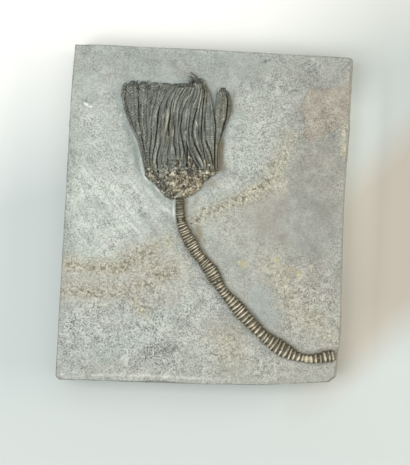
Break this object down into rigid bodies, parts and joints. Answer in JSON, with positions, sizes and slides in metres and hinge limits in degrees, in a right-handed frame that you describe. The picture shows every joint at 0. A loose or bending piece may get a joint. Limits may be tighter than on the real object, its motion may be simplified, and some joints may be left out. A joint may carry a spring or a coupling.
{
  "type": "crinoid fossil slab",
  "caption": "Rectangular grey siltstone slab bearing a fossil crinoid in relief: a feathery crown of arms on a knobbly cup, with a long ringed stem curving to the slab's edge.",
  "frame": {"origin": "middle of the slab's flat back, which is its underside as it lies", "axes": "+Z out of the face that bears the fossil, +Y up the slab from the stem's free end towards the crown, +X to the right as the fossil is looked at"},
  "size_m": [0.1184, 0.1408, 0.0227],
  "materials": {
    "siltstone": "matt, finely grained, with faint rusty bands",
    "stem_calcite": "dull brown with bright tan crests",
    "calyx_calcite": "mottled brown, cream and gold, slightly glossy",
    "arm_calcite": "dark grey-green, finely ribbed, slightly glossy"
  },
  "bodies": {
    "root": {"matrix_slab": "siltstone", "stem": "stem_calcite", "calyx": "calyx_calcite", "arm_01": "arm_calcite", "arm_02": "arm_calcite", "arm_03": "arm_calcite", "arm_04": "arm_calcite", "arm_05": "arm_calcite", "arm_06": "arm_calcite", "arm_07": "arm_calcite", "arm_08": "arm_calcite", "arm_09": "arm_calcite", "arm_10": "arm_calcite", "arm_11": "arm_calcite", "arm_12": "arm_calcite", "arm_13": "arm_calcite", "arm_14": "arm_calcite", "arm_15": "arm_calcite", "arm_16": "arm_calcite", "arm_17": "arm_calcite", "arm_18": "arm_calcite", "arm_19": "arm_calcite"}
  },
  "joints": []
}
